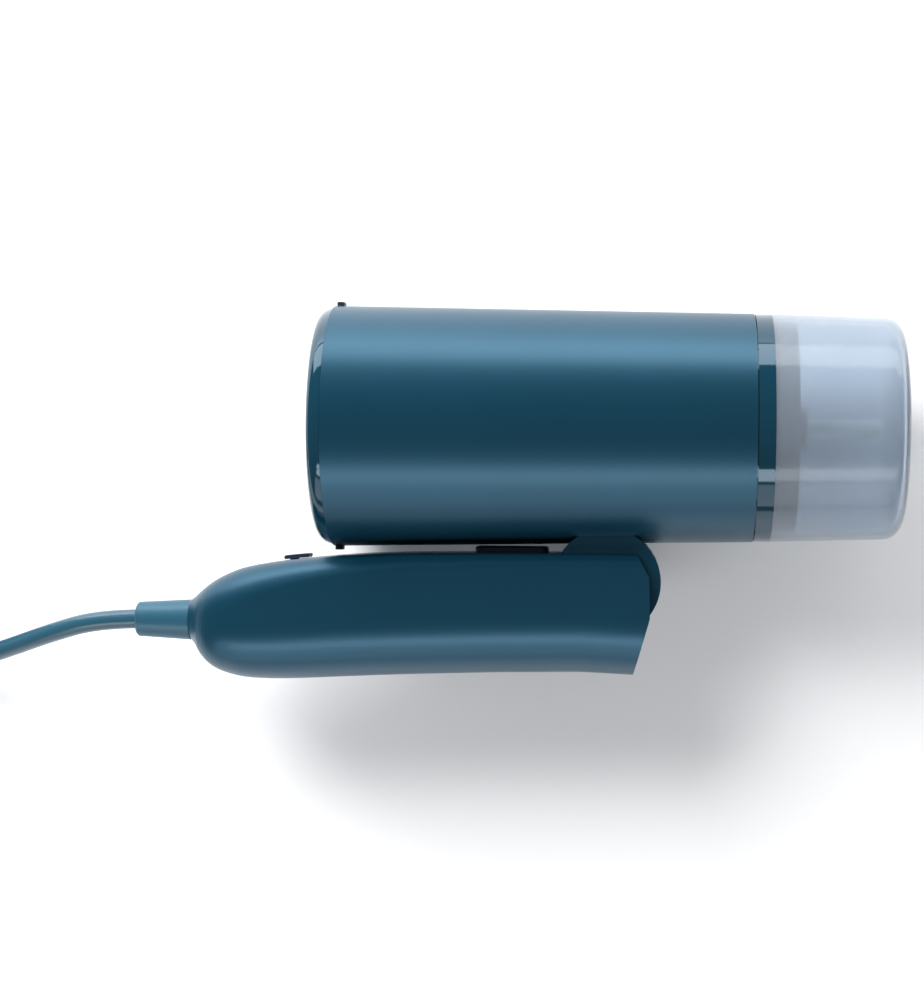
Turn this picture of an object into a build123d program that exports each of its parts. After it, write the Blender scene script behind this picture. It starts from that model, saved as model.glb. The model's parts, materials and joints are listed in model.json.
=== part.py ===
"""Folding travel garment steamer, folded flat and lying on its side.

Frame, in millimetres: +X runs along the drum towards the water tank, +Y towards the top of the
drum as it is held in use, +Z up from the surface it lies on. The origin is at the bottom centre
of the object without its cord.
"""

from build123d import *
from math import cos, pi, radians, sin, tan
import os

os.makedirs("parts", exist_ok=True)

# Driving dimensions: the drum
AXIS_Y = 19.8
AXIS_Z = 36.6
FRONT_R = 36.6
FRONT_X = -62.7
SHELL_END_X = 63.4
SHELL_END_R = 34.25
WALL = 2.0
PLATE_FACE_X = -67.2
RIM_INNER_R = 31.5

# The tank
COLLAR_END_X = 68.5
TANK_BASE_X = 74.3
TANK_END_X = 107.2
TANK_BASE_R = 34.05
TANK_END_R = 32.9
TANK_EDGE_R = 5.3
TANK_WALL = 1.8

# The fold
HINGE_X = 20.2
HINGE_Y = -26.6
KNUCKLE_R = 16.05
KNUCKLE_HALF = 13.0
KNUCKLE_GAP = 0.4
PIN_R = 4.0
SLOT_HALF_X = 8.5
SLOT_HALF_Z = 8.5
CLAMP_PITCH = 10.0

# The handle
HANDLE_HALF = 18.0
HANDLE_WALL = 2.2
HANDLE_END_X = 33.1

# The cord
CORD_R = 3.0
GLAND_X = -124.0
GLAND_Y = -39.9
COIL_X = -232.0
COIL_Y = -20.0
COIL_MEAN_R = 33.0
COIL_LAYERS = 2
COIL_COLUMNS = 4

RUN_FIT = 0.05

DRUM = Plane(origin=(0, AXIS_Y, AXIS_Z), x_dir=(1, 0, 0), z_dir=(0, 0, 1))
DRUM_AXIS = Axis((0, AXIS_Y, AXIS_Z), (1, 0, 0))
MID = Plane(origin=(0, 0, AXIS_Z), x_dir=(1, 0, 0), z_dir=(0, 0, 1))


def across(x, y=AXIS_Y, z=AXIS_Z):
    """A plane square to the drum's axis: its own x is +Y and its own y is +Z."""
    return Plane(origin=(x, y, z), x_dir=(0, 1, 0), z_dir=(1, 0, 0))


def keep(part, name):
    """Name a finished piece and write it to its own file."""
    part.label = name
    export_step(part, f"parts/{name}.step")


def turned(outline):
    """A solid turned about the drum's axis from a closed outline of (x, radius) points."""
    with BuildPart() as piece:
        with BuildSketch(DRUM):
            with BuildLine():
                Polyline(*outline, close=True)
            make_face()
        revolve(axis=DRUM_AXIS)
    return piece.part


def disc(x, length, radius, bore=0.0, y=AXIS_Y, z=AXIS_Z):
    """A disc, sleeve or washer along +X, starting at x."""
    with BuildPart() as piece:
        with BuildSketch(across(x, y, z)):
            Circle(radius)
            if bore > 0:
                Circle(bore, mode=Mode.SUBTRACT)
        extrude(amount=length)
    return piece.part


def coil_spring(start, direction, length, spring_r, wire_r, turns):
    """A helical compression spring from start along direction."""
    spring_plane = Plane(origin=start, z_dir=direction)
    path = spring_plane.location * Helix(length / turns, length, spring_r)
    with BuildPart() as piece:
        with BuildLine():
            add(path)
        with BuildSketch(Plane(origin=path @ 0, z_dir=path % 0)):
            Circle(wire_r)
        sweep(path=path, is_frenet=True)
    return piece.part


# Body shell: tapering satin drum, open at both ends, with a slot under it for the knuckle
with BuildPart() as body_shell:
    with BuildSketch(DRUM):
        with BuildLine():
            Polyline(
                (FRONT_X, FRONT_R - WALL),
                (FRONT_X, FRONT_R),
                (SHELL_END_X, SHELL_END_R),
                (SHELL_END_X, SHELL_END_R - WALL),
                close=True,
            )
        make_face()
    revolve(axis=DRUM_AXIS)
    with BuildSketch(Plane.XZ.offset(10)):
        with Locations((HINGE_X, AXIS_Z)):
            Rectangle(2 * SLOT_HALF_X, 2 * SLOT_HALF_Z)
    extrude(amount=12, mode=Mode.SUBTRACT)
keep(body_shell.part, "body_shell")

# Front rim: glossy bezel with a rounded lip, and a spigot inside the shell
RIM_BACK_X = FRONT_X - 0.1
RIM_LIP_R = RIM_INNER_R + 0.8
RIM_OUTER_R = FRONT_R - 0.3
SPIGOT_R = FRONT_R - WALL - 0.15
with BuildPart() as front_rim:
    with BuildSketch(DRUM):
        with BuildLine():
            Polyline(
                (RIM_BACK_X, RIM_OUTER_R),
                (RIM_BACK_X, SPIGOT_R),
                (FRONT_X + 6.0, SPIGOT_R - 0.15),
                (FRONT_X + 6.0, RIM_INNER_R + 1.2),
                (FRONT_X + 1.0, RIM_INNER_R),
                (PLATE_FACE_X, RIM_INNER_R),
                (PLATE_FACE_X, RIM_LIP_R),
            )
            Spline((PLATE_FACE_X, RIM_LIP_R), (RIM_BACK_X, RIM_OUTER_R), tangents=((0, 1), (1, 0.25)))
        make_face()
    revolve(axis=DRUM_AXIS)
keep(front_rim.part, "front_rim")

# Rim hooks: two small lugs on the shell's front edge where the brush attachment clips on
HOOK_LENGTH = 2.2
HOOK_WIDTH = 6.0
HOOK_PROUD = 1.1
with BuildPart() as rim_hooks:
    for side in (1, -1):
        with BuildSketch(Plane.XZ.offset(-(AXIS_Y + side * (FRONT_R - 1.2)))):
            with Locations((FRONT_X + 0.2 + HOOK_LENGTH / 2, AXIS_Z)):
                RectangleRounded(HOOK_LENGTH, HOOK_WIDTH, 0.8)
        extrude(amount=-side * (HOOK_PROUD + 1.2))
    add(body_shell.part, mode=Mode.SUBTRACT)
keep(rim_hooks.part, "rim_hooks")

# Steam plate: round plate flush with the rim, with rings of steam vents
PLATE_R = RIM_INNER_R - 0.3
PLATE_THICK = 3.0
with BuildPart() as steam_plate:
    with BuildSketch(across(PLATE_FACE_X)):
        Circle(PLATE_R)
    extrude(amount=PLATE_THICK)
    fillet(steam_plate.faces().sort_by(Axis.X)[0].edges(), 0.8)
    with BuildSketch(across(PLATE_FACE_X)):
        for ring_r, vents in ((8.0, 6), (16.0, 10)):
            with PolarLocations(ring_r, vents):
                Circle(1.3)
    extrude(amount=PLATE_THICK, mode=Mode.SUBTRACT)
keep(steam_plate.part, "steam_plate")

# Plate seal: flat gasket behind the steam plate, carried on a step of the boiler
PLATE_BACK_X = PLATE_FACE_X + PLATE_THICK
keep(disc(PLATE_BACK_X, 1.8, 30.8, 26.2), "plate_seal")

# Boiler block: cast cup with its steam chamber open towards the plate
BOILER_R = 26.0
BOILER_BACK_X = -45.0
CHAMBER_R = 20.0
ELEMENT_R = 16.0
ELEMENT_WIRE_R = 3.2
LUG_R = 22.5
with BuildPart() as boiler_block:
    with BuildSketch(across(PLATE_BACK_X)):
        Circle(BOILER_R)
    extrude(amount=BOILER_BACK_X - PLATE_BACK_X)
    with BuildSketch(across(PLATE_BACK_X)):
        Circle(CHAMBER_R)
    extrude(amount=8.0, mode=Mode.SUBTRACT)
    with BuildSketch(across(PLATE_BACK_X)):
        with GridLocations(10.0, 0, 3, 1):
            Rectangle(1.6, 26.0)
    extrude(amount=8.0)
    with BuildSketch(Plane(origin=(BOILER_BACK_X, AXIS_Y, AXIS_Z), x_dir=(1, 0, 0), z_dir=(0, 0, 1))):
        with Locations((0, ELEMENT_R)):
            Circle(ELEMENT_WIRE_R + RUN_FIT)
    revolve(axis=DRUM_AXIS, mode=Mode.SUBTRACT)
    with Locations(across(BOILER_BACK_X)):
        with PolarLocations(LUG_R, 4, start_angle=45):
            Hole(1.25, depth=10.0)
    with Locations(across(BOILER_BACK_X)):
        Hole(2.0, depth=14.0)
keep(boiler_block.part, "boiler_block")

# Heating element: sheathed horseshoe half sunk in the back of the boiler, its two ends turned back
ELEMENT_GAP = 50.0
with BuildPart() as heating_element:
    with BuildSketch(Plane(origin=(BOILER_BACK_X, AXIS_Y, AXIS_Z), x_dir=(1, 0, 0), z_dir=(0, 0, 1))):
        with Locations((0, ELEMENT_R)):
            Circle(ELEMENT_WIRE_R)
    revolve(axis=DRUM_AXIS, revolution_arc=360 - ELEMENT_GAP)
    for turn in (0, ELEMENT_GAP - 360):
        end_y = AXIS_Y + ELEMENT_R * cos(radians(turn))
        end_z = AXIS_Z + ELEMENT_R * sin(radians(-turn))
        with BuildSketch(across(BOILER_BACK_X, end_y, end_z)):
            Circle(2.0)
        extrude(amount=9.0)
keep(heating_element.part, "heating_element")

# Boiler cover: pressed steel plate clear of the element, held by four screws on stand-offs
COVER_X = BOILER_BACK_X + 4.0
with BuildPart() as boiler_cover:
    with BuildSketch(across(COVER_X)):
        Circle(BOILER_R)
        with PolarLocations(ELEMENT_R, 2, start_angle=-ELEMENT_GAP, angular_range=ELEMENT_GAP, endpoint=True):
            Circle(3.0, mode=Mode.SUBTRACT)
        Circle(3.2, mode=Mode.SUBTRACT)
    extrude(amount=1.2)
    with BuildSketch(across(BOILER_BACK_X)):
        with PolarLocations(LUG_R, 4, start_angle=45):
            Circle(2.6)
    extrude(amount=COVER_X - BOILER_BACK_X)
    with Locations(across(COVER_X + 1.2)):
        with PolarLocations(LUG_R, 4, start_angle=45):
            Hole(1.5, depth=6.0)
keep(boiler_cover.part, "boiler_cover")

# Boiler screws: four pan heads into the block
with BuildPart() as boiler_screws:
    with BuildSketch(across(COVER_X + 1.2)):
        with PolarLocations(LUG_R, 4, start_angle=45):
            Circle(2.6)
    extrude(amount=1.8)
    fillet(boiler_screws.faces().sort_by(Axis.X)[-4:].edges(), 0.6)
    with BuildSketch(across(BOILER_BACK_X - 8.0)):
        with PolarLocations(LUG_R, 4, start_angle=45):
            Circle(1.2)
    extrude(amount=COVER_X + 1.2 - BOILER_BACK_X + 8.0)
keep(boiler_screws.part, "boiler_screws")

# Thermostat: snap disc clipped to the cover, with two tabs
SENSOR_X = COVER_X + 1.2
with BuildPart() as thermostat:
    with BuildSketch(across(SENSOR_X, AXIS_Y - 10.5)):
        Circle(6.5)
    extrude(amount=5.0)
    fillet(thermostat.faces().sort_by(Axis.X)[-1].edges(), 0.8)
    with BuildSketch(across(SENSOR_X + 5.0, AXIS_Y - 10.5)):
        with GridLocations(0, 7.0, 1, 2):
            Rectangle(4.0, 0.8)
    extrude(amount=4.0)
keep(thermostat.part, "thermostat")

# Thermal fuse: axial fuse in a saddle on the cover
with BuildPart() as thermal_fuse:
    with BuildSketch(Plane.XY.offset(AXIS_Z - 7.0)):
        with Locations((SENSOR_X + 3.2, AXIS_Y + 8.0)):
            Circle(2.0)
    extrude(amount=14.0)
    with BuildSketch(across(SENSOR_X, AXIS_Y + 8.0)):
        Rectangle(7.0, 6.0)
    extrude(amount=1.6)
keep(thermal_fuse.part, "thermal_fuse")

# Heat shield: thin cup round the boiler, open towards the plate
SHIELD_R = 30.6
SHIELD_BACK_X = -29.0
with BuildPart() as heat_shield:
    with BuildSketch(DRUM):
        with BuildLine():
            Polyline(
                (FRONT_X + 1.4, SHIELD_R),
                (SHIELD_BACK_X, SHIELD_R),
                (SHIELD_BACK_X, 4.0),
                (SHIELD_BACK_X - 0.8, 4.0),
                (SHIELD_BACK_X - 0.8, SHIELD_R - 0.8),
                (FRONT_X + 1.4, SHIELD_R - 0.8),
                close=True,
            )
        make_face()
    revolve(axis=DRUM_AXIS)
keep(heat_shield.part, "heat_shield")

# Chassis: deck across the drum with side rails, front ring and stand-offs for the pump
DECK_Y = AXIS_Y - 14.0
DECK_X0 = SHIELD_BACK_X + 1.0
DECK_X1 = 53.0
DECK_HALF = 27.0
with BuildPart() as chassis:
    with BuildSketch(Plane.XZ.offset(-DECK_Y)):
        with Locations(((DECK_X0 + DECK_X1) / 2, AXIS_Z)):
            Rectangle(DECK_X1 - DECK_X0, 2 * DECK_HALF)
            with GridLocations(0, 40.0, 1, 2):
                SlotOverall(50.0, 8.0, mode=Mode.SUBTRACT)
    extrude(amount=2.0)
    with BuildSketch(across(DECK_X0)):
        Circle(29.5)
        Circle(24.0, mode=Mode.SUBTRACT)
    extrude(amount=2.0)
    with BuildSketch(Plane.XZ.offset(-DECK_Y)):
        with Locations(((DECK_X0 + DECK_X1) / 2 + 1.0, AXIS_Z)):
            with GridLocations(0, 2 * DECK_HALF - 2.0, 1, 2):
                Rectangle(DECK_X1 - DECK_X0 - 2.0, 2.0)
    extrude(amount=-5.0)
keep(chassis.part, "chassis")

# Pump: solenoid pump standing on the deck, with its coil bobbin round a bored tube
PUMP_Y = AXIS_Y
PUMP_X0 = -18.0
PUMP_X1 = 20.0
PISTON_R = 3.5
with BuildPart() as pump_body:
    with BuildSketch(across(PUMP_X0, PUMP_Y)):
        Circle(6.0)
    extrude(amount=PUMP_X1 - PUMP_X0)
    with BuildSketch(across(PUMP_X0 + 4.0, PUMP_Y)):
        RectangleRounded(22.0, 22.0, 3.0)
    extrude(amount=2.0)
    with BuildSketch(across(PUMP_X1 - 8.0, PUMP_Y)):
        RectangleRounded(22.0, 22.0, 3.0)
    extrude(amount=2.0)
    for end_x in (PUMP_X0 - 5.0, PUMP_X1):
        with BuildSketch(across(end_x, PUMP_Y)):
            Circle(2.0)
        extrude(amount=5.0)
    for foot_x in (PUMP_X0 + 4.0, PUMP_X1 - 8.0):
        with BuildSketch(across(foot_x, (DECK_Y + PUMP_Y - 10.0) / 2)):
            Rectangle(PUMP_Y - 10.0 - DECK_Y, 12.0)
        extrude(amount=2.0)
    with BuildSketch(across(PUMP_X0 + 2.0, PUMP_Y)):
        Circle(PISTON_R + RUN_FIT)
    extrude(amount=PUMP_X1 - PUMP_X0 - 4.0, mode=Mode.SUBTRACT)
    with BuildSketch(across(PUMP_X0 - 6.0, PUMP_Y)):
        Circle(1.0)
    extrude(amount=PUMP_X1 - PUMP_X0 + 12.0, mode=Mode.SUBTRACT)
keep(pump_body.part, "pump_body")

# Pump coil: winding between the two bobbin flanges
keep(disc(PUMP_X0 + 6.0, PUMP_X1 - PUMP_X0 - 14.0, 10.0, 6.0, PUMP_Y), "pump_coil")

# Pump piston and the spring that returns it
PISTON_X = PUMP_X0 + 15.0
PISTON_LENGTH = 15.0
keep(disc(PISTON_X, PISTON_LENGTH, PISTON_R, 0.8, PUMP_Y), "pump_piston")
keep(coil_spring((PUMP_X0 + 2.5, PUMP_Y, AXIS_Z), (1, 0, 0), PISTON_X - PUMP_X0 - 3.0, 2.6, 0.35, 7),
     "pump_spring")

# Hoses: boiler end and tank end, each pushed over its spigots
HOSE_R = 3.2
with BuildPart() as boiler_nozzle:
    with BuildSketch(across(BOILER_BACK_X - 4.0)):
        Circle(2.0)
        Circle(0.8, mode=Mode.SUBTRACT)
    extrude(amount=SHIELD_BACK_X + 7.0 - BOILER_BACK_X)
keep(boiler_nozzle.part, "boiler_nozzle")
OUTLET_X0 = SHIELD_BACK_X + 0.6
keep(disc(OUTLET_X0, PUMP_X0 - 0.5 - OUTLET_X0, HOSE_R, 2.0, PUMP_Y), "outlet_hose")

# Rear bulkhead: wall across the drum with a boss for the tank port
BULK_X = 53.0
with BuildPart() as rear_bulkhead:
    with BuildSketch(across(BULK_X)):
        Circle(31.8)
    extrude(amount=2.4)
    with BuildSketch(across(BULK_X - 3.0)):
        Circle(8.0)
    extrude(amount=3.0)
    with BuildSketch(across(BULK_X - 3.0)):
        Circle(4.0)
    extrude(amount=6.0, mode=Mode.SUBTRACT)
    fillet(rear_bulkhead.edges().filter_by(GeomType.CIRCLE).sort_by(SortBy.RADIUS)[-1], 0.6)
keep(rear_bulkhead.part, "rear_bulkhead")

# Tank port: hollow spigot the tank plugs on to
PORT_R = 4.0
PORT_TIP_X = 70.0
SEAL_X = PORT_TIP_X - 4.0
with BuildPart() as tank_port:
    with BuildSketch(DRUM):
        with BuildLine():
            Polyline(
                (BULK_X - 10.0, 1.0),
                (BULK_X - 10.0, 2.0),
                (BULK_X - 3.0, 2.0),
                (BULK_X - 3.0, PORT_R),
                (BULK_X + 2.4, PORT_R),
                (BULK_X + 2.4, 6.0),
                (BULK_X + 4.0, 6.0),
                (BULK_X + 4.0, PORT_R),
                (SEAL_X - 0.8, PORT_R),
                (SEAL_X - 0.8, PORT_R - 1.0),
                (SEAL_X + 0.8, PORT_R - 1.0),
                (SEAL_X + 0.8, PORT_R),
                (PORT_TIP_X - 1.0, PORT_R),
                (PORT_TIP_X, PORT_R - 1.0),
                (PORT_TIP_X, 1.0),
                close=True,
            )
        make_face()
    revolve(axis=DRUM_AXIS)
keep(tank_port.part, "tank_port")

# Port seal: ring in the groove near the spigot's tip
keep(disc(SEAL_X - 0.75, 1.5, PORT_R + 0.3, PORT_R - 0.95), "port_seal")

keep(disc(PUMP_X1 + 0.5, BULK_X - 3.5 - PUMP_X1 - 0.5, HOSE_R, 2.0, PUMP_Y), "inlet_hose")

# Control board: small board on the far side of the deck, with its relay and capacitor
BOARD_Y = DECK_Y - 7.0
with BuildPart() as control_board:
    with BuildSketch(Plane.XZ.offset(-BOARD_Y)):
        with Locations((-8.0, AXIS_Z)):
            Rectangle(28.0, 30.0)
    extrude(amount=1.6)
    with BuildSketch(Plane.XZ.offset(-BOARD_Y)):
        with Locations((-14.0, AXIS_Z - 6.0)):
            Rectangle(10.0, 12.0)
        with Locations((0.0, AXIS_Z + 6.0)):
            Circle(3.5)
    extrude(amount=-3.6)
    with BuildSketch(Plane.XZ.offset(-BOARD_Y)):
        with Locations((-8.0, AXIS_Z)):
            with GridLocations(24.0, 26.0, 2, 2):
                Circle(1.4)
    extrude(amount=-5.0)
keep(control_board.part, "control_board")

# Hinge knuckle: round barrel under the drum, seated on the shell and plugged through its slot
NOTCH_R = 1.8
NOTCH_DEPTH = 0.8
with BuildPart() as hinge_knuckle:
    with BuildSketch(MID.offset(-KNUCKLE_HALF)):
        with Locations((HINGE_X, HINGE_Y)):
            Circle(KNUCKLE_R)
    extrude(amount=2 * KNUCKLE_HALF)
    add(turned([(FRONT_X, 0), (FRONT_X, FRONT_R), (SHELL_END_X, SHELL_END_R), (SHELL_END_X, 0)]),
        mode=Mode.SUBTRACT)
    with BuildSketch(MID.offset(-SLOT_HALF_Z + 0.05)):
        with Locations((HINGE_X, (HINGE_Y + AXIS_Y - 29.0) / 2)):
            Rectangle(2 * SLOT_HALF_X - 0.1, AXIS_Y - 29.0 - HINGE_Y)
    extrude(amount=2 * SLOT_HALF_Z - 0.1)
    with BuildSketch(MID.offset(-KNUCKLE_HALF)):
        with Locations((HINGE_X, HINGE_Y)):
            Circle(PIN_R)
    extrude(amount=2 * KNUCKLE_HALF, mode=Mode.SUBTRACT)
    with BuildSketch(Plane.XZ.offset(-(HINGE_Y - KNUCKLE_R + NOTCH_DEPTH))):
        with Locations((HINGE_X, AXIS_Z)):
            Circle(NOTCH_R)
    extrude(amount=3.0, mode=Mode.SUBTRACT)
    with BuildSketch(across(HINGE_X + KNUCKLE_R - NOTCH_DEPTH, HINGE_Y, AXIS_Z)):
        Circle(NOTCH_R)
    extrude(amount=3.0, mode=Mode.SUBTRACT)
    with BuildSketch(Plane.XZ.offset(-(AXIS_Y - 29.0))):
        with Locations((HINGE_X, AXIS_Z)):
            with GridLocations(CLAMP_PITCH, 0, 2, 1):
                Circle(1.3)
    extrude(amount=6.0, mode=Mode.SUBTRACT)
keep(hinge_knuckle.part, "hinge_knuckle")

# Hinge pin: pressed in the knuckle, turning in the two cheeks of the handle
PIN_HALF = 16.2
with BuildPart() as hinge_pin:
    with BuildSketch(MID.offset(-PIN_HALF)):
        with Locations((HINGE_X, HINGE_Y)):
            Circle(PIN_R)
    extrude(amount=2 * PIN_HALF)
    chamfer(hinge_pin.edges().filter_by(GeomType.CIRCLE), 0.5)
keep(hinge_pin.part, "hinge_pin")

# Hinge washers: one each side of the knuckle, in the running gap
with BuildPart() as hinge_washers:
    for side in (1, -1):
        with BuildSketch(MID.offset(side * KNUCKLE_HALF)):
            with Locations((HINGE_X, HINGE_Y)):
                Circle(7.0)
                Circle(PIN_R + RUN_FIT, mode=Mode.SUBTRACT)
        extrude(amount=side * (KNUCKLE_GAP - 0.1))
keep(hinge_washers.part, "hinge_washers")

# Knuckle screws: two down through the knuckle's plug into its clamp plate inside the shell
CLAMP_Y = AXIS_Y - 29.0
with BuildPart() as knuckle_plate:
    with BuildSketch(Plane.XZ.offset(-CLAMP_Y)):
        with Locations((HINGE_X, AXIS_Z)):
            Rectangle(26.0, 22.0)
            with GridLocations(CLAMP_PITCH, 0, 2, 1):
                Circle(1.5, mode=Mode.SUBTRACT)
    extrude(amount=-1.6)
keep(knuckle_plate.part, "knuckle_plate")
with BuildPart() as knuckle_screws:
    with BuildSketch(Plane.XZ.offset(-(CLAMP_Y + 1.6))):
        with Locations((HINGE_X, AXIS_Z)):
            with GridLocations(CLAMP_PITCH, 0, 2, 1):
                Circle(2.6)
    extrude(amount=-1.8)
    with BuildSketch(Plane.XZ.offset(-(CLAMP_Y - 6.0))):
        with Locations((HINGE_X, AXIS_Z)):
            with GridLocations(CLAMP_PITCH, 0, 2, 1):
                Circle(1.3)
    extrude(amount=-7.6)
keep(knuckle_screws.part, "knuckle_screws")

# Tank cup: frosted cup, open towards the drum
CUP_START_X = COLLAR_END_X
with BuildPart() as tank_cup:
    with BuildSketch(DRUM):
        with BuildLine():
            Polyline((CUP_START_X, 0), (CUP_START_X, TANK_BASE_R), (TANK_END_X, TANK_END_R),
                     (TANK_END_X, 0), close=True)
        make_face()
    revolve(axis=DRUM_AXIS)
    fillet(tank_cup.faces().sort_by(Axis.X)[-1].edges(), TANK_EDGE_R)
    offset(amount=-TANK_WALL, openings=tank_cup.faces().sort_by(Axis.X)[0])
keep(tank_cup.part, "tank_cup")

# Tank collar: glossy ring that holds the cup and slides over the bulkhead's edge
COLLAR_START_X = SHELL_END_X + 0.3
SKIRT_START_X = BULK_X + 6.0
COLLAR_R = SHELL_END_R - 0.1
SKIRT_R = SHELL_END_R - WALL - 0.35
CUP_INNER_R = TANK_BASE_R - TANK_WALL
with BuildPart() as tank_collar:
    with BuildSketch(DRUM):
        with BuildLine():
            Polyline(
                (SKIRT_START_X, SKIRT_R - 2.0),
                (SKIRT_START_X, SKIRT_R),
                (COLLAR_START_X, SKIRT_R),
                (COLLAR_START_X, COLLAR_R),
                (COLLAR_END_X, COLLAR_R),
                (COLLAR_END_X, SKIRT_R - 2.0),
                close=True,
            )
        make_face()
    revolve(axis=DRUM_AXIS)
keep(tank_collar.part, "tank_collar")

# Tank base: grey closure seen through the cup's wall, with the bored boss of the valve
BASE_FRONT_X = COLLAR_END_X + 2.6
VALVE_BORE_R = PORT_R + 0.4
with BuildPart() as tank_base:
    with BuildSketch(DRUM):
        with BuildLine():
            Polyline(
                (SKIRT_START_X + 1.0, VALVE_BORE_R),
                (SKIRT_START_X + 1.0, VALVE_BORE_R + 2.0),
                (BASE_FRONT_X - 2.0, VALVE_BORE_R + 2.0),
                (BASE_FRONT_X - 2.0, SKIRT_R - 2.0),
                (COLLAR_END_X, SKIRT_R - 2.0),
                (COLLAR_END_X, CUP_INNER_R - 0.1),
                (TANK_BASE_X, CUP_INNER_R - 0.3),
                (TANK_BASE_X, CUP_INNER_R - 2.0),
                (BASE_FRONT_X, CUP_INNER_R - 3.0),
                (BASE_FRONT_X, VALVE_BORE_R + 2.0),
                (BASE_FRONT_X + 8.0, VALVE_BORE_R + 2.0),
                (BASE_FRONT_X + 8.0, 2.0),
                (BASE_FRONT_X + 6.5, 2.0),
                (BASE_FRONT_X + 6.5, VALVE_BORE_R),
                close=True,
            )
        make_face()
    revolve(axis=DRUM_AXIS)
    with Locations(across(BASE_FRONT_X + 9.0, AXIS_Y + 18.0)):
        Hole(6.0, depth=20.0)
keep(tank_base.part, "tank_base")

# Tank seal: square-section ring between the base and the cup
keep(disc(TANK_BASE_X, 1.2, CUP_INNER_R - 0.5, CUP_INNER_R - 2.0), "tank_seal")

# Filler stopper: rubber bung in the base's filling hole, reached with the tank off
with BuildPart() as filler_stopper:
    with BuildSketch(across(BASE_FRONT_X - 3.0, AXIS_Y + 18.0)):
        Circle(8.0)
    extrude(amount=1.0)
    with BuildSketch(across(BASE_FRONT_X - 2.0, AXIS_Y + 18.0)):
        Circle(6.0)
    extrude(amount=4.0)
    fillet(filler_stopper.faces().sort_by(Axis.X)[-1].edges(), 0.8)
keep(filler_stopper.part, "filler_stopper")

# Tank valve: poppet pushed open by the port, its spring behind it
VALVE_X = PORT_TIP_X + 0.3
with BuildPart() as tank_valve:
    with BuildSketch(across(VALVE_X)):
        Circle(VALVE_BORE_R - 0.3)
    extrude(amount=1.6)
    with BuildSketch(across(VALVE_X + 1.6)):
        Circle(1.2)
    extrude(amount=4.0)
keep(tank_valve.part, "tank_valve")
keep(coil_spring((VALVE_X + 1.95, AXIS_Y, AXIS_Z), (1, 0, 0), BASE_FRONT_X + 6.5 - VALVE_X - 2.35, 2.4, 0.3, 4),
     "tank_valve_spring")

# Suction tube: from the base's boss to the far end of the cup
with BuildPart() as suction_tube:
    with BuildSketch(across(BASE_FRONT_X + 8.0)):
        Circle(2.6)
        Circle(1.6, mode=Mode.SUBTRACT)
    extrude(amount=TANK_END_X - TANK_WALL - 4.0 - BASE_FRONT_X - 8.0)
keep(suction_tube.part, "suction_tube")

# Handle: stations along X, each with its top, its bottom, its half width and its inner corners' radius
HANDLE_STATIONS = [
    (-107.2, -33.9, -45.6, 6.2, 4.8),
    (-105.4, -32.6, -47.6, 8.4, 6.2),
    (-103.6, -31.0, -50.6, 10.8, 8.0),
    (-100.6, -28.6, -53.6, 13.2, 9.6),
    (-96.4, -26.1, -55.7, 15.0, 10.8),
    (-90.5, -23.7, -57.1, 16.4, 11.0),
    (-82.5, -22.0, -57.5, 17.3, 10.0),
    (-71.5, -20.6, -57.2, 17.8, 8.5),
    (-57.0, -19.3, -56.4, HANDLE_HALF, 7.0),
    (-38.0, -18.5, -55.5, HANDLE_HALF, 5.4),
    (-13.0, -18.2, -54.6, HANDLE_HALF, 4.4),
    (12.0, -18.1, -54.1, HANDLE_HALF, 4.0),
    (38.0, -18.1, -55.2, HANDLE_HALF, 4.0),
]
OUTER_CORNER_SHARE = 0.96
REFINE = 3


def smooth_stations(stations):
    """The same stations with smoothly curved ones put between them, each slope from its neighbours."""
    slopes = []
    for index in range(len(stations)):
        before = stations[max(index - 1, 0)]
        after = stations[min(index + 1, len(stations) - 1)]
        slopes.append([(b - a) / (after[0] - before[0]) for a, b in zip(before, after)])
    refined = [stations[0]]
    for start, end, slope_in, slope_out in zip(stations, stations[1:], slopes, slopes[1:]):
        span = end[0] - start[0]
        pieces = REFINE if start[0] < -38.0 else 1
        for piece in range(1, pieces + 1):
            t = piece / pieces
            weights = (2 * t**3 - 3 * t**2 + 1, t**3 - 2 * t**2 + t, 3 * t**2 - 2 * t**3, t**3 - t**2)
            refined.append(tuple(
                weights[0] * a + weights[1] * span * m + weights[2] * b + weights[3] * span * n
                for a, m, b, n in zip(start, slope_in, end, slope_out)
            ))
    return refined


SMOOTH_STATIONS = smooth_stations(HANDLE_STATIONS)
CAVITY_START_X = -100.6
CAVITY_END_X = -1.0


def handle_station(station, inset=0.0):
    """The closed section of the handle at one station, pulled in by inset."""
    x, top, bottom, half, inner_corner = station
    height = top - bottom - 2 * inset
    width = 2 * (half - inset)
    outer_corner = OUTER_CORNER_SHARE * min(height, width) / 2
    with BuildSketch(across(x, (top + bottom) / 2, AXIS_Z)) as section:
        rectangle = Rectangle(height, width)
        fillet(rectangle.vertices().group_by(Axis.X)[-1], max(inner_corner - inset, 1.5))
        fillet(section.vertices().group_by(Axis.X)[0], outer_corner)
    return section.sketch


with BuildPart() as handle_blank:
    for station in SMOOTH_STATIONS:
        add(handle_station(station))
    loft(ruled=True)

with BuildPart() as handle_cavity:
    for station in HANDLE_STATIONS:
        if station[0] >= CAVITY_START_X and station[0] < CAVITY_END_X:
            add(handle_station(station, HANDLE_WALL))
    add(handle_station((CAVITY_END_X, -18.1, -54.3, HANDLE_HALF, 4.2), HANDLE_WALL))
    loft(ruled=True)

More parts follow.
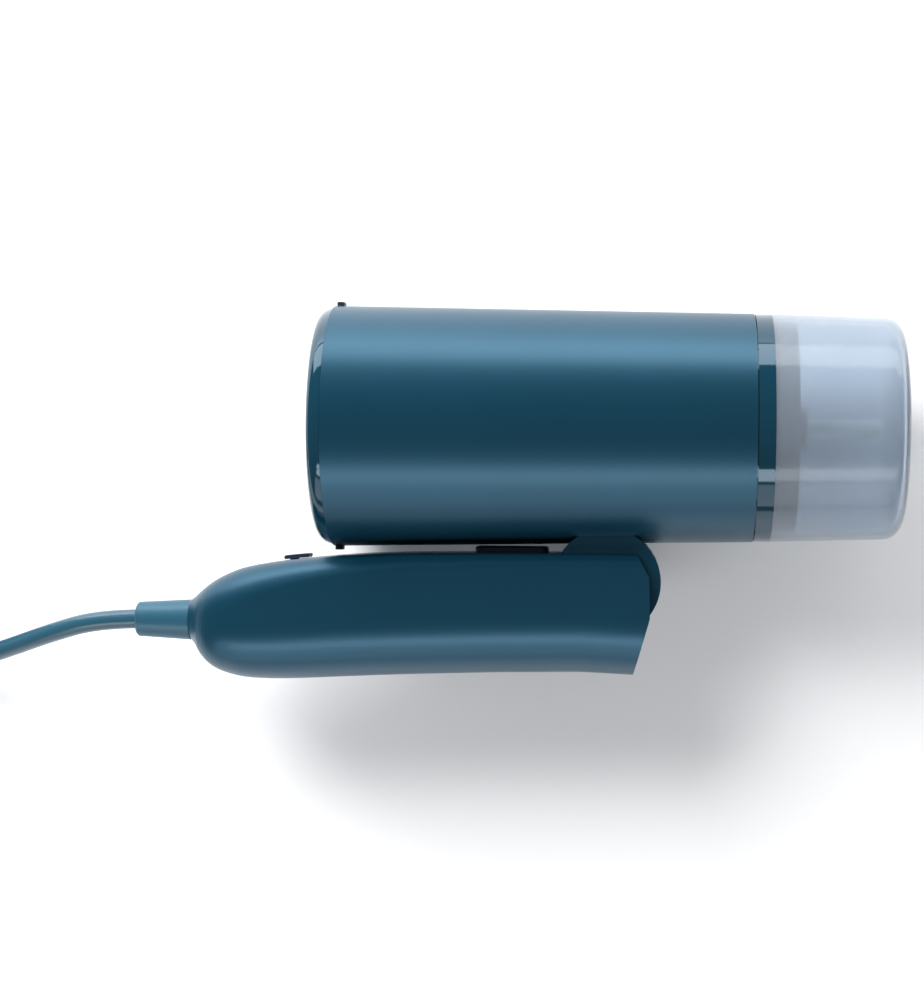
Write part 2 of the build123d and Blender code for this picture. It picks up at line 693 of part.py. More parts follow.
# Trigger, slider and lens places, and the pieces under them
TRIGGER_X0 = -19.4
TRIGGER_X1 = 2.2
TRIGGER_TOP = -16.35
TRIGGER_BOTTOM = -20.6
TRIGGER_HALF = 7.0
TRIGGER_GAP = 0.35
SLIDER_X0 = -77.9
SLIDER_X1 = -70.4
SLIDER_TOP = -19.5
SLIDER_SLOPE = 5.6
SLIDER_SLOT_X = -72.8
LENS_X = -61.0
PLUNGER_R = 2.5
PLUNGER_TIP_Y = HINGE_Y - KNUCKLE_R - 0.3
PLUNGER_LENGTH = 5.4
DETENT_FLOOR_Y = -52.6
HANDLE_SCREWS = [(-58.0, -41.0), (-30.0, -41.0), (-6.0, -41.0)]
CLAMP_X = -88.0
CLAMP_BAR_Y = GLAND_Y + CORD_R
BOSS_FLOOR = 52.8
SWITCH_X = -11.0
SWITCH_TOP = -27.2
SWITCH_BOTTOM = -34.0
POWER_X = -73.0
POWER_TOP = -28.4
POWER_BOTTOM = -35.0
RIB = 2.0

with BuildPart() as handle_body:
    add(handle_blank.part)
    add(handle_cavity.part, mode=Mode.SUBTRACT)
    # ribs under the two switches, and the screw bosses
    for rib_x, rib_top, rib_foot in ((SWITCH_X, SWITCH_BOTTOM, -53.2), (POWER_X, POWER_BOTTOM, -55.8)):
        with BuildSketch(MID.offset(-5.0)):
            with Locations((rib_x, (rib_top + rib_foot) / 2)):
                Rectangle(RIB, rib_top - rib_foot)
        extrude(amount=10.0)
    with BuildSketch(MID.offset(-HANDLE_HALF + 2.4)):
        with Locations(*HANDLE_SCREWS):
            Circle(3.2)
    extrude(amount=2 * HANDLE_HALF - 4.8)
    with BuildSketch(Plane.XZ.offset(BOSS_FLOOR)):
        with Locations((CLAMP_X, AXIS_Z)):
            with GridLocations(0, 17.0, 1, 2):
                Circle(2.6)
    extrude(amount=-(BOSS_FLOOR + CLAMP_BAR_Y))
    # room for the knuckle, at every angle of the fold
    with BuildSketch(MID.offset(-KNUCKLE_HALF - KNUCKLE_GAP)):
        with Locations((HINGE_X, HINGE_Y)):
            Circle(KNUCKLE_R + KNUCKLE_GAP)
        with Locations((HINGE_X + 20.4, HINGE_Y)):
            Rectangle(20.0, 80.0)
    extrude(amount=2 * (KNUCKLE_HALF + KNUCKLE_GAP), mode=Mode.SUBTRACT)
    # slanted end
    with BuildSketch(MID.offset(-40)):
        with BuildLine():
            Polyline((28.1, -60.0), (28.1, -54.8), (HANDLE_END_X, -37.0), (32.8, -25.0), (28.6, -17.0),
                     (28.6, -10.0), (60.0, -10.0), (60.0, -60.0), close=True)
        make_face()
    extrude(amount=80, mode=Mode.SUBTRACT)
    # pin sockets
    with BuildSketch(MID.offset(-PIN_HALF - 0.3)):
        with Locations((HINGE_X, HINGE_Y)):
            Circle(PIN_R + RUN_FIT)
    extrude(amount=2 * PIN_HALF + 0.6, mode=Mode.SUBTRACT)
    # trigger window, slider slot and lens hole in the inner face
    with BuildSketch(Plane.XZ.offset(23.4)):
        with Locations(((TRIGGER_X0 + TRIGGER_X1) / 2, AXIS_Z)):
            RectangleRounded(TRIGGER_X1 - TRIGGER_X0 + 2 * TRIGGER_GAP, 2 * (TRIGGER_HALF + TRIGGER_GAP), 2.0)
    extrude(amount=-12.0, mode=Mode.SUBTRACT)
    with BuildSketch(Plane.XZ.offset(26.0)):
        with Locations((SLIDER_SLOT_X, AXIS_Z)):
            SlotOverall(9.6, 3.6)
        with Locations((LENS_X, AXIS_Z)):
            Circle(1.8)
    extrude(amount=-12.0, mode=Mode.SUBTRACT)
    # detent bore, cord gland neck and flange pocket
    with BuildSketch(Plane.XZ.offset(-DETENT_FLOOR_Y)):
        with Locations((HINGE_X, AXIS_Z)):
            Circle(PLUNGER_R + RUN_FIT)
    extrude(amount=-16.0, mode=Mode.SUBTRACT)
    with BuildSketch(across(-110.0, GLAND_Y, AXIS_Z)):
        Circle(5.55)
    extrude(amount=14.0, mode=Mode.SUBTRACT)
    # screw holes: clearance and a recess in the back half, pilot holes in the front half
    with BuildSketch(MID.offset(-HANDLE_HALF - 1.0)):
        with Locations(*HANDLE_SCREWS):
            Circle(2.8)
    extrude(amount=4.5, mode=Mode.SUBTRACT)
    with BuildSketch(MID.offset(-HANDLE_HALF)):
        with Locations(*HANDLE_SCREWS):
            Circle(1.35)
    extrude(amount=HANDLE_HALF + 10.0, mode=Mode.SUBTRACT)
    with BuildSketch(Plane.XZ.offset(50.0)):
        with Locations((CLAMP_X, AXIS_Z)):
            with GridLocations(0, 17.0, 1, 2):
                Circle(1.25)
    extrude(amount=-14.0, mode=Mode.SUBTRACT)

for side, shell_name in ((1, "handle_front_shell"), (-1, "handle_back_shell")):
    with BuildPart() as half_shell:
        add(handle_body.part)
        split(bisect_by=MID, keep=Keep.TOP if side > 0 else Keep.BOTTOM)
    keep(half_shell.part, shell_name)

with BuildPart() as handle_screws:
    with BuildSketch(MID.offset(-HANDLE_HALF + 2.0)):
        with Locations(*HANDLE_SCREWS):
            Circle(2.5)
    extrude(amount=1.5)
    with BuildSketch(MID.offset(-HANDLE_HALF + 3.5)):
        with Locations(*HANDLE_SCREWS):
            Circle(1.3)
    extrude(amount=HANDLE_HALF + 5.0)
keep(handle_screws.part, "handle_screws")

# Trigger: block in its window with side lips that stop it, and a post for the switch
with BuildPart() as trigger:
    with BuildSketch(Plane.XZ.offset(-TRIGGER_BOTTOM)):
        with Locations(((TRIGGER_X0 + TRIGGER_X1) / 2, AXIS_Z)):
            RectangleRounded(TRIGGER_X1 - TRIGGER_X0, 2 * TRIGGER_HALF, 1.8)
    extrude(amount=-(TRIGGER_TOP - TRIGGER_BOTTOM))
    fillet(trigger.faces().sort_by(Axis.Y)[-1].edges(), 0.7)
    with BuildSketch(Plane.XZ.offset(-TRIGGER_BOTTOM)):
        with Locations((SWITCH_X, AXIS_Z)):
            Circle(1.5)
    extrude(amount=3.6)
keep(trigger.part, "trigger")

# Micro switch the trigger's post presses, with its own button
with BuildPart() as trigger_switch:
    with BuildSketch(MID.offset(-4.0)):
        with Locations((SWITCH_X, (SWITCH_TOP + SWITCH_BOTTOM) / 2)):
            Rectangle(13.0, SWITCH_TOP - SWITCH_BOTTOM)
    extrude(amount=8.0)
    chamfer(trigger_switch.edges().filter_by(Axis.Z), 0.6)
    with BuildSketch(Plane.XZ.offset(-SWITCH_BOTTOM)):
        with Locations((SWITCH_X, AXIS_Z)):
            with GridLocations(8.0, 4.0, 2, 1):
                Rectangle(0.8, 3.0)
    extrude(amount=3.0)
keep(trigger_switch.part, "trigger_switch")
TRIGGER_SPRING_X = TRIGGER_X0 + 3.6
keep(coil_spring((TRIGGER_SPRING_X, TRIGGER_BOTTOM - 0.4, AXIS_Z), (0, -1, 0),
                 TRIGGER_BOTTOM - SWITCH_TOP - 0.8, 1.8, 0.3, 4), "trigger_spring")

# Power slider: tab on the inner face, with a stem through the slot to its switch
with BuildPart() as power_slider:
    slope = tan(radians(SLIDER_SLOPE))
    slider_length = SLIDER_X1 - SLIDER_X0
    with BuildSketch(MID.offset(-4.0)):
        with BuildLine():
            Polyline(
                (SLIDER_X0, SLIDER_TOP - 1.5),
                (SLIDER_X0, SLIDER_TOP - 0.3),
                (SLIDER_X1, SLIDER_TOP - 0.3 + slope * slider_length),
                (SLIDER_X1, SLIDER_TOP - 1.5 + slope * slider_length),
                close=True,
            )
        make_face()
    extrude(amount=8.0)
    chamfer(power_slider.edges().filter_by(Axis.Z), 0.3)
    with BuildSketch(Plane.XZ.offset(POWER_TOP * -1 - 0.4)):
        with Locations((SLIDER_X0 + 2.6, AXIS_Z)):
            Rectangle(2.4, 2.8)
    extrude(amount=-(SLIDER_TOP - 1.0 - POWER_TOP))
keep(power_slider.part, "power_slider")
with BuildPart() as power_switch:
    with BuildSketch(MID.offset(-5.0)):
        with Locations((POWER_X, (POWER_TOP + POWER_BOTTOM) / 2)):
            Rectangle(15.0, POWER_TOP - POWER_BOTTOM)
    extrude(amount=10.0)
    chamfer(power_switch.edges().filter_by(Axis.Z), 0.6)
keep(power_switch.part, "power_switch")

# Indicator lens: light pipe flush with the inner face
with BuildPart() as indicator_lens:
    with BuildSketch(Plane.XZ.offset(24.0)):
        with Locations((LENS_X, AXIS_Z)):
            Circle(1.75)
    extrude(amount=-4.2)
    with BuildSketch(Plane.XZ.offset(25.0)):
        with Locations((LENS_X, AXIS_Z)):
            Circle(2.8)
    extrude(amount=-1.2)
keep(indicator_lens.part, "indicator_lens")

# Fold detent: plunger in its bore, pressed towards the knuckle's notches by a spring
with BuildPart() as detent_plunger:
    with BuildSketch(Plane.XZ.offset(-PLUNGER_TIP_Y)):
        with Locations((HINGE_X, AXIS_Z)):
            Circle(PLUNGER_R)
    extrude(amount=PLUNGER_LENGTH)
    fillet(detent_plunger.faces().sort_by(Axis.Y)[-1].edges(), 1.6)
keep(detent_plunger.part, "detent_plunger")
DETENT_SPRING_LENGTH = PLUNGER_TIP_Y - PLUNGER_LENGTH - DETENT_FLOOR_Y - 0.8
keep(coil_spring((HINGE_X, DETENT_FLOOR_Y + 0.4, AXIS_Z), (0, 1, 0), DETENT_SPRING_LENGTH, 1.9, 0.3, 3),
     "detent_spring")

# Cord gland: rigid tapered sleeve with a neck through the tail and a flange inside it
NECK_X = -106.6
FLANGE_X = -100.0
with BuildPart() as cord_gland:
    with BuildSketch(Plane(origin=(0, GLAND_Y, AXIS_Z), x_dir=(1, 0, 0), z_dir=(0, 0, 1))):
        with BuildLine():
            Polyline(
                (GLAND_X, 0),
                (GLAND_X, 4.7),
                (GLAND_X + 0.6, 5.3),
                (NECK_X - 0.65, 6.2),
                (NECK_X - 0.65, 5.5),
                (FLANGE_X, 5.5),
                (FLANGE_X, 7.4),
                (FLANGE_X + 2.0, 7.4),
                (FLANGE_X + 2.0, 0),
                close=True,
            )
        make_face()
    revolve(axis=Axis((0, GLAND_Y, AXIS_Z), (1, 0, 0)))
keep(cord_gland.part, "cord_gland")

# Lead tail: the cord's inner end, from the gland to the clamp
TAIL_END_X = CLAMP_X + 6.0
keep(disc(FLANGE_X + 2.0, TAIL_END_X - FLANGE_X - 2.0, CORD_R, 0, GLAND_Y, AXIS_Z), "lead_tail")

# Cord clamp: saddle bar across the lead, and its two screws
with BuildPart() as cord_clamp:
    with BuildSketch(Plane.XZ.offset(-CLAMP_BAR_Y)):
        with Locations((CLAMP_X, AXIS_Z)):
            SlotOverall(22.5, 5.2, rotation=90)
            with GridLocations(0, 17.0, 1, 2):
                Circle(1.5, mode=Mode.SUBTRACT)
    extrude(amount=-2.4)
keep(cord_clamp.part, "cord_clamp")
with BuildPart() as clamp_screws:
    with BuildSketch(Plane.XZ.offset(-(CLAMP_BAR_Y + 2.4))):
        with Locations((CLAMP_X, AXIS_Z)):
            with GridLocations(0, 17.0, 1, 2):
                Circle(2.3)
    extrude(amount=-1.4)
    with BuildSketch(Plane.XZ.offset(-(CLAMP_BAR_Y - 7.0))):
        with Locations((CLAMP_X, AXIS_Z)):
            with GridLocations(0, 17.0, 1, 2):
                Circle(1.2)
    extrude(amount=-9.4)
keep(clamp_screws.part, "clamp_screws")

# Coil: the put-away length of the cord, wound four turns wide and two turns high
TURN_PITCH = 2 * CORD_R + 0.1
COIL_OUTER_R = COIL_MEAN_R + COIL_COLUMNS / 2 * TURN_PITCH
COIL_INNER_R = COIL_MEAN_R - COIL_COLUMNS / 2 * TURN_PITCH
OUTER_TURN_R = COIL_OUTER_R - TURN_PITCH / 2
COIL_HEIGHT = COIL_LAYERS * TURN_PITCH
COIL_BASE = 0.7
with BuildPart() as cord_coil:
    with BuildSketch(Plane.XY.offset(COIL_BASE)):
        with Locations((COIL_X, COIL_Y)):
            Circle(COIL_OUTER_R)
            Circle(COIL_INNER_R, mode=Mode.SUBTRACT)
    extrude(amount=COIL_HEIGHT)
    fillet(cord_coil.edges().filter_by(GeomType.CIRCLE), CORD_R * 0.8)
keep(cord_coil.part, "cord_coil")

# Free cord: out of the gland, down to the surface and into the foot of the coil
CORD_Z = CORD_R + COIL_BASE
ENTRY_Y = COIL_Y - OUTER_TURN_R
CORD_POINTS = [
    (GLAND_X, GLAND_Y, AXIS_Z),
    (-137.0, -40.3, 36.0),
    (-153.0, -44.9, 30.6),
    (-170.0, -50.8, 20.8),
    (-188.0, -56.4, 10.8),
    (-208.0, -60.6, 4.9),
    (COIL_X + 2.0, ENTRY_Y, CORD_Z),
]


def corner_radii(points):
    """Each corner's radius: 0.45 of its shorter run over the tangent of half its turn."""
    vectors = [Vector(*point) for point in points]
    radii = []
    for before, corner, after in zip(vectors, vectors[1:], vectors[2:]):
        turn = (corner - before).get_angle(after - corner)
        shorter = min((corner - before).length, (after - corner).length)
        radii.append(0.45 * shorter / tan(radians(turn) / 2))
    return radii


CORD_RADII = corner_radii(CORD_POINTS)
print("cord tube radii, mm:", [round(radius, 1) for radius in CORD_RADII])
with BuildPart() as cord_tube:
    with BuildLine() as cord_path:
        FilletPolyline(*CORD_POINTS, radius=CORD_RADII)
    cord_wire = cord_path.wire()
    with BuildSketch(Plane(origin=cord_wire @ 0, z_dir=cord_wire % 0)):
        Circle(CORD_R)
    sweep(path=cord_wire)
print("cord tube length, mm:", round(cord_wire.length, 1))
print("tube volume over section times length:",
      round(cord_tube.part.volume / (pi * CORD_R**2 * cord_wire.length), 4))
keep(cord_tube.part, "cord_tube")

# Plug: relief that leaves the coil's outer turn, moulded body and two flat blades
PLUG_AXIS_X = COIL_X - OUTER_TURN_R
PLUG_Z = 8.8
PLUG_START_Y = 17.0
PLUG_LENGTH = 30.0
PLUG_HALF_WIDTH = 11.5
PLUG_HEIGHT = 16.0
with BuildPart() as plug_relief:
    with BuildSketch(Plane.XZ.offset(-(COIL_Y + 8.0))):
        with Locations((PLUG_AXIS_X, PLUG_Z)):
            Circle(CORD_R)
    with BuildSketch(Plane.XZ.offset(-PLUG_START_Y)):
        with Locations((PLUG_AXIS_X, PLUG_Z)):
            Circle(5.0)
    loft()
keep(plug_relief.part, "plug_relief")
with BuildPart() as plug_body:
    with BuildSketch(Plane.XZ.offset(-PLUG_START_Y)):
        with Locations((PLUG_AXIS_X, PLUG_Z)):
            RectangleRounded(13.0, 12.0, 4.0)
    with BuildSketch(Plane.XZ.offset(-(PLUG_START_Y + 12.0))):
        with Locations((PLUG_AXIS_X, PLUG_Z)):
            RectangleRounded(2 * PLUG_HALF_WIDTH, PLUG_HEIGHT, 4.0)
    with BuildSketch(Plane.XZ.offset(-(PLUG_START_Y + PLUG_LENGTH))):
        with Locations((PLUG_AXIS_X, PLUG_Z)):
            RectangleRounded(2 * PLUG_HALF_WIDTH, PLUG_HEIGHT, 4.0)
    loft(ruled=True)
keep(plug_body.part, "plug_body")
BLADE_SPACING = 12.7
with BuildPart() as plug_blades:
    with BuildSketch(Plane.XZ.offset(-(PLUG_START_Y + PLUG_LENGTH))):
        with Locations((PLUG_AXIS_X, PLUG_Z)):
            with GridLocations(BLADE_SPACING, 0, 2, 1):
                Rectangle(1.5, 6.35)
    extrude(amount=-16.0)
    chamfer(plug_blades.faces().sort_by(Axis.Y)[-2:].edges().filter_by(Axis.Z), 0.5)
keep(plug_blades.part, "plug_blades")

# Cord tie: strap round the coil's section
TIE_THICK = 0.6
TIE_GAP = 0.05
with BuildPart() as cord_tie:
    with BuildSketch(Plane.XZ.offset(-(COIL_Y - 5.0))):
        with Locations((COIL_X + COIL_MEAN_R, COIL_BASE + COIL_HEIGHT / 2)):
            tie_width = COIL_COLUMNS * TURN_PITCH + 2 * (TIE_GAP + TIE_THICK)
            tie_height = COIL_HEIGHT + 2 * (TIE_GAP + TIE_THICK)
            RectangleRounded(tie_width, tie_height, 3.4)
            RectangleRounded(tie_width - 2 * TIE_THICK, tie_height - 2 * TIE_THICK, 2.3, mode=Mode.SUBTRACT)
    extrude(amount=-10.0)
    add(cord_coil.part, mode=Mode.SUBTRACT)
keep(cord_tie.part, "cord_tie")
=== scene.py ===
"""Looks of the folded garment steamer: camera, cord, materials, floor and studio light."""
import bpy
import bmesh
import json
from math import cos, pi, radians, sin
from mathutils import Matrix, Vector


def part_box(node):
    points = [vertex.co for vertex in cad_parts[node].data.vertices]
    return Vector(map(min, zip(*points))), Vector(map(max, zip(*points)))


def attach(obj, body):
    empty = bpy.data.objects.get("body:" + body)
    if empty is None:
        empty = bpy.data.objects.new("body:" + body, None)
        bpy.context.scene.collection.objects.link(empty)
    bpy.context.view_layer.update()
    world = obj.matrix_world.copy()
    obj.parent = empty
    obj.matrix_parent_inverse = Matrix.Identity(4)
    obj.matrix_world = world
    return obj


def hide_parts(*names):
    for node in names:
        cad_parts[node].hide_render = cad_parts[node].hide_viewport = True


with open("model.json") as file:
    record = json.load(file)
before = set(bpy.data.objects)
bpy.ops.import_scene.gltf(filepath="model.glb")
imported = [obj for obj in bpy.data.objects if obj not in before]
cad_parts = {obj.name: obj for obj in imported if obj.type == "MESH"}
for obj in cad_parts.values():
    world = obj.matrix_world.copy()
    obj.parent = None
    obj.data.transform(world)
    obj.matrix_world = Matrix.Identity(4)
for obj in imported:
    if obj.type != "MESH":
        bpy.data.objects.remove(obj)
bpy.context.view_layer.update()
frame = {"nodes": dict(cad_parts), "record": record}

NODES = frame["nodes"]
SCENE = bpy.context.scene
MM = 0.001

# Height of the drum's axis, read from the shell's box
SHELL_LOW, SHELL_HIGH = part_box("body_shell")
AXIS_Z = (SHELL_LOW[2] + SHELL_HIGH[2]) / 2

# Camera: above and a little to the right, looking down, rolled so that the axis falls to the right
CAMERA_HEIGHT = 0.650
CAMERA_PLACE = Vector((0.0317, -0.0021, AXIS_Z + CAMERA_HEIGHT))
CAMERA_TARGET = Vector((-0.0241, -0.0025, AXIS_Z))
CAMERA_LENS = 77.2
CAMERA_ROLL = 0.465
CAMERA_NEAR = 0.01


def add_camera():
    """A camera whose right-hand side follows +X, so that +Y is up in the picture."""
    data = bpy.data.cameras.new("camera")
    data.lens = CAMERA_LENS
    data.clip_start = CAMERA_NEAR
    camera = bpy.data.objects.new("camera", data)
    SCENE.collection.objects.link(camera)
    back = (CAMERA_PLACE - CAMERA_TARGET).normalized()
    right = (Vector((1, 0, 0)) - back * back.x).normalized()
    aim = Matrix((right, back.cross(right), back)).transposed()
    turn = aim @ Matrix.Rotation(radians(CAMERA_ROLL), 3, "Z")
    camera.matrix_world = Matrix.Translation(CAMERA_PLACE) @ turn.to_4x4()
    SCENE.camera = camera


add_camera()

# Cord: out of the gland, down to the surface, then a coil four turns wide and two high.
# ROUTE is in millimetres.
CORD_R = 3.0 * MM
ROUTE = [
    (-124.0, -39.9, 36.6),
    (-137.0, -40.3, 36.0),
    (-153.0, -44.9, 30.6),
    (-170.0, -50.8, 20.8),
    (-188.0, -56.4, 10.8),
    (-208.0, -60.6, 4.9),
    (-230.0, -62.2, 3.7),
]
COIL_LOW, COIL_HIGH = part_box("cord_coil")
COIL_X = (COIL_LOW[0] + COIL_HIGH[0]) / 2
COIL_Y = (COIL_LOW[1] + COIL_HIGH[1]) / 2
TURN_PITCH = 6.1 * MM
OUTER_TURN_R = (COIL_HIGH[0] - COIL_LOW[0]) / 2 - TURN_PITCH / 2
COIL_COLUMNS = 4
TURN_POINTS = 20
CROSSING_STEPS = 5
UPPER_WAIT_STEPS = 6
UPPER_EXTRA_TURN = 0.25
RELIEF_LEAD_IN = 1 * MM
RELIEF_LEAD_RISE = 0.4 * MM
RELIEF_DEPTH = 4 * MM


def coil_points():
    """Turns laid side by side inwards on the surface, then outwards on top of them."""
    points = []
    low_z = COIL_LOW[2] + CORD_R
    layers = ((0, COIL_COLUMNS, 0), (1, COIL_COLUMNS + UPPER_EXTRA_TURN, UPPER_WAIT_STEPS))
    for layer, turns, wait in layers:
        for step in range(1, int(turns * TURN_POINTS) + 1):
            angle = -pi / 2 - 2 * pi * step / TURN_POINTS
            turn, part = divmod(step, TURN_POINTS)
            shift = min(1.0, max(0.0, (part - wait) / CROSSING_STEPS))
            column = min(turn - 1 + shift if turn else 0.0, COIL_COLUMNS - 1)
            if layer:
                column = COIL_COLUMNS - 1 - column
            rise = min(1.0, step / CROSSING_STEPS) if layer else 0.0
            radius = OUTER_TURN_R - column * TURN_PITCH
            points.append((COIL_X + radius * cos(angle), COIL_Y + radius * sin(angle),
                           low_z + rise * TURN_PITCH))
    return points


def add_cord():
    """The whole mains cord as one curve, from the gland to the plug's strain relief."""
    relief_low, relief_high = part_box("plug_relief")
    plug_x = (relief_low[0] + relief_high[0]) / 2
    plug_z = (relief_low[2] + relief_high[2]) / 2
    points = [(x * MM, y * MM, z * MM) for x, y, z in ROUTE]
    points += coil_points()
    points.append((plug_x, relief_low[1] - RELIEF_LEAD_IN, plug_z + RELIEF_LEAD_RISE))
    points.append((plug_x, relief_low[1] + RELIEF_DEPTH, plug_z))
    curve = bpy.data.curves.new("mains_cord", "CURVE")
    curve.dimensions = "3D"
    # the thickness is carried by the points' own radius, so that the curve's box is the cord's
    curve.bevel_depth = 1.0
    curve.bevel_resolution = 6
    curve.use_fill_caps = True
    spline = curve.splines.new("NURBS")
    spline.points.add(len(points) - 1)
    for point, place in zip(spline.points, points):
        point.co = (*place, 1.0)
        point.radius = CORD_R
    spline.order_u = 3
    spline.use_endpoint_u = True
    spline.resolution_u = 6
    cord = bpy.data.objects.new("mains_cord", curve)
    SCENE.collection.objects.link(cord)
    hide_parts("cord_tube", "cord_coil")
    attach(cord, "handle")
    return cord


cord = add_cord()


# Materials: every finish has its own grain, roughness and slow colour drift
BUMP_DISTANCE = 0.0002
FINE_DETAIL = 3.0
SLOW_DETAIL = 2.0


def new_material(name):
    """A new material with its nodes, links and main shader."""
    material = bpy.data.materials.new(name)
    material.use_nodes = True
    tree = material.node_tree
    return material, tree.nodes, tree.links, tree.nodes["Principled BSDF"]


def surface(name, light, dark, roughness, grain=900.0, bump=0.03, metallic=0.0, coat=0.0,
            coat_roughness=0.1, stretch=(1, 1, 1), drift=25.0, spread=0.08, extra=None):
    """A finish with fine grain in its bump and roughness, and a slow drift between two colours."""
    material, nodes, links, shader = new_material(name)
    place = nodes.new("ShaderNodeTexCoord")
    mapping = nodes.new("ShaderNodeMapping")
    mapping.inputs["Scale"].default_value = stretch
    links.new(place.outputs["Object"], mapping.inputs["Vector"])
    fine = nodes.new("ShaderNodeTexNoise")
    fine.inputs["Scale"].default_value = grain
    fine.inputs["Detail"].default_value = FINE_DETAIL
    links.new(mapping.outputs["Vector"], fine.inputs["Vector"])
    slow = nodes.new("ShaderNodeTexNoise")
    slow.inputs["Scale"].default_value = drift
    slow.inputs["Detail"].default_value = SLOW_DETAIL
    links.new(mapping.outputs["Vector"], slow.inputs["Vector"])
    colour = nodes.new("ShaderNodeMix")
    colour.data_type = "RGBA"
    colour.inputs["A"].default_value = (*dark, 1)
    colour.inputs["B"].default_value = (*light, 1)
    links.new(slow.outputs["Fac"], colour.inputs["Factor"])
    links.new(colour.outputs["Result"], shader.inputs["Base Color"])
    spreader = nodes.new("ShaderNodeMapRange")
    spreader.inputs["To Min"].default_value = roughness - spread
    spreader.inputs["To Max"].default_value = roughness + spread
    links.new(fine.outputs["Fac"], spreader.inputs["Value"])
    links.new(spreader.outputs["Result"], shader.inputs["Roughness"])
    relief = nodes.new("ShaderNodeBump")
    relief.inputs["Strength"].default_value = bump
    relief.inputs["Distance"].default_value = BUMP_DISTANCE
    links.new(fine.outputs["Fac"], relief.inputs["Height"])
    links.new(relief.outputs["Normal"], shader.inputs["Normal"])
    shader.inputs["Metallic"].default_value = metallic
    shader.inputs["Coat Weight"].default_value = coat
    shader.inputs["Coat Roughness"].default_value = coat_roughness
    for socket, value in (extra or {}).items():
        shader.inputs[socket].default_value = value
    return material


MATERIALS = {
    "satin_teal": surface("satin_teal", (0.006, 0.062, 0.108), (0.005, 0.054, 0.096), 0.38,
                          grain=2600.0, bump=0.05, metallic=0.60, coat=0.22, coat_roughness=0.28,
                          spread=0.05),
    "gloss_teal": surface("gloss_teal", (0.004, 0.042, 0.072), (0.003, 0.036, 0.063), 0.08,
                          grain=400.0, bump=0.01, metallic=0.35, coat=0.30, coat_roughness=0.04,
                          spread=0.03),
    "dark_trim": surface("dark_trim", (0.012, 0.026, 0.044), (0.008, 0.020, 0.034), 0.48,
                         grain=1800.0, bump=0.12),
    "frosted_tank": surface("frosted_tank", (0.58, 0.66, 0.74), (0.53, 0.61, 0.70), 0.22,
                            grain=2200.0, bump=0.06, coat=0.25, coat_roughness=0.12, spread=0.04,
                            extra={"Transmission Weight": 0.84, "IOR": 1.25}),
    "grey_closure": surface("grey_closure", (0.050, 0.052, 0.085), (0.040, 0.042, 0.070), 0.45,
                            grain=1500.0, bump=0.08),
    "inner_plastic": surface("inner_plastic", (0.020, 0.022, 0.026), (0.012, 0.014, 0.017), 0.55,
                             grain=1500.0, bump=0.15),
    "clear_lens": surface("clear_lens", (0.80, 0.86, 0.90), (0.74, 0.80, 0.86), 0.12, grain=500.0,
                          bump=0.02, extra={"Transmission Weight": 0.8}),
    "plate_coat": surface("plate_coat", (0.58, 0.60, 0.63), (0.46, 0.48, 0.51), 0.30, grain=700.0,
                          bump=0.08, metallic=0.9, stretch=(1, 1, 14)),
    "cast_alloy": surface("cast_alloy", (0.50, 0.51, 0.53), (0.36, 0.37, 0.39), 0.52, grain=1100.0,
                          bump=0.35, metallic=0.9),
    "steel": surface("steel", (0.58, 0.59, 0.61), (0.47, 0.48, 0.50), 0.28, grain=900.0, bump=0.06,
                     metallic=1.0, stretch=(12, 1, 1)),
    "copper_wire": surface("copper_wire", (0.62, 0.22, 0.07), (0.44, 0.14, 0.04), 0.34, grain=1200.0,
                           bump=0.4, metallic=0.9, stretch=(10, 1, 1)),
    "brass_parts": surface("brass_parts", (0.66, 0.62, 0.52), (0.54, 0.50, 0.40), 0.26, grain=800.0,
                           bump=0.05, metallic=1.0),
    "seal_rubber": surface("seal_rubber", (0.075, 0.078, 0.100), (0.058, 0.060, 0.080), 0.62,
                           grain=900.0, bump=0.15),
    "hose_rubber": surface("hose_rubber", (0.62, 0.62, 0.58), (0.52, 0.52, 0.48), 0.50, grain=900.0,
                           bump=0.08, extra={"Subsurface Weight": 0.2}),
    "board_green": surface("board_green", (0.012, 0.12, 0.045), (0.008, 0.08, 0.03), 0.35, grain=260.0,
                           bump=0.15, drift=300.0),
    "cord_teal": surface("cord_teal", (0.016, 0.072, 0.110), (0.012, 0.058, 0.092), 0.30, grain=1400.0,
                         bump=0.05, coat=0.35, coat_roughness=0.25, spread=0.05),
    "gland_teal": surface("gland_teal", (0.022, 0.092, 0.142), (0.018, 0.078, 0.122), 0.40,
                          grain=1900.0, bump=0.07, metallic=0.2),
    "plug_teal": surface("plug_teal", (0.018, 0.076, 0.116), (0.014, 0.062, 0.098), 0.45, grain=1700.0,
                         bump=0.10),
    "floor_paper": surface("floor_paper", (0.90, 0.90, 0.91), (0.88, 0.88, 0.89), 0.85, grain=300.0,
                           bump=0.01, drift=3.0),
}


def dress_nodes():
    """Give each CAD node the finish of its material slot."""
    for row in frame["record"]["subparts"]:
        mesh = NODES[row["node"]].data
        mesh.materials.clear()
        mesh.materials.append(MATERIALS[row["material_slot"]])


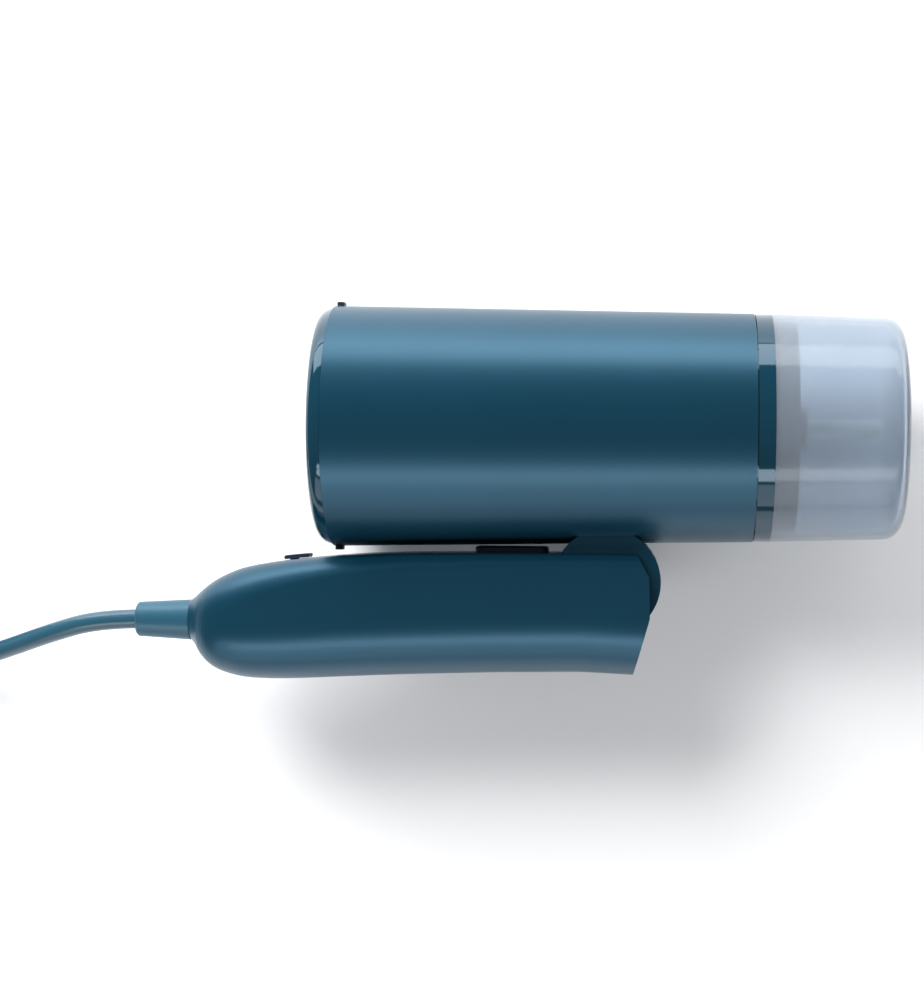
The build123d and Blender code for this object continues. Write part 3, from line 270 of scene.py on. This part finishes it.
dress_nodes()
cord.data.materials.append(MATERIALS["cord_teal"])


# Floor and light
FLOOR_HALF_SIDE = 3.0
FLOOR_SQUARES = 8
FLOOR_DROP = 0.0002
LIGHT_AIM = (0.0, 0.0, AXIS_Z)
WORLD_COLOUR = (0.93, 0.95, 1.0, 1)
WORLD_STRENGTH = 0.16


def add_floor():
    """A pale sheet just under the object."""
    mesh = bpy.data.meshes.new("floor")
    grid = bmesh.new()
    bmesh.ops.create_grid(grid, x_segments=FLOOR_SQUARES, y_segments=FLOOR_SQUARES,
                          size=FLOOR_HALF_SIDE)
    grid.to_mesh(mesh)
    grid.free()
    floor = bpy.data.objects.new("floor", mesh)
    floor.location = (0, 0, -FLOOR_DROP)
    mesh.materials.append(MATERIALS["floor_paper"])
    SCENE.collection.objects.link(floor)


def add_softbox(name, place, size, power):
    """A rectangular light at place, turned towards the object."""
    data = bpy.data.lights.new(name, "AREA")
    data.shape = "RECTANGLE"
    data.size, data.size_y = size
    data.energy = power
    lamp = bpy.data.objects.new(name, data)
    direction = Vector(LIGHT_AIM) - Vector(place)
    turn = direction.to_track_quat("-Z", "Y").to_matrix().to_4x4()
    lamp.matrix_world = Matrix.Translation(Vector(place)) @ turn
    SCENE.collection.objects.link(lamp)
    return lamp


add_floor()
# The key light throws the shadow to the right and down; it isn't reflected, so the drum's middle
# stays dark. The other three make the bright bands along the drum.
key_box = add_softbox("key_box", (-0.50, 0.70, 0.66), (0.60, 0.60), 20.0)
key_box.visible_glossy = False
add_softbox("back_box", (0.0, 1.00, 0.27), (2.4, 0.48), 17.0)
add_softbox("low_strip", (0.0, -0.71, 0.67), (1.6, 0.22), 5.2)
add_softbox("low_box", (0.0, -1.00, 0.36), (2.0, 0.50), 4.4)

world = bpy.data.worlds.new("studio")
world.use_nodes = True
background = world.node_tree.nodes["Background"]
background.inputs["Color"].default_value = WORLD_COLOUR
background.inputs["Strength"].default_value = WORLD_STRENGTH
SCENE.world = world
SCENE.view_settings.view_transform = "Standard"
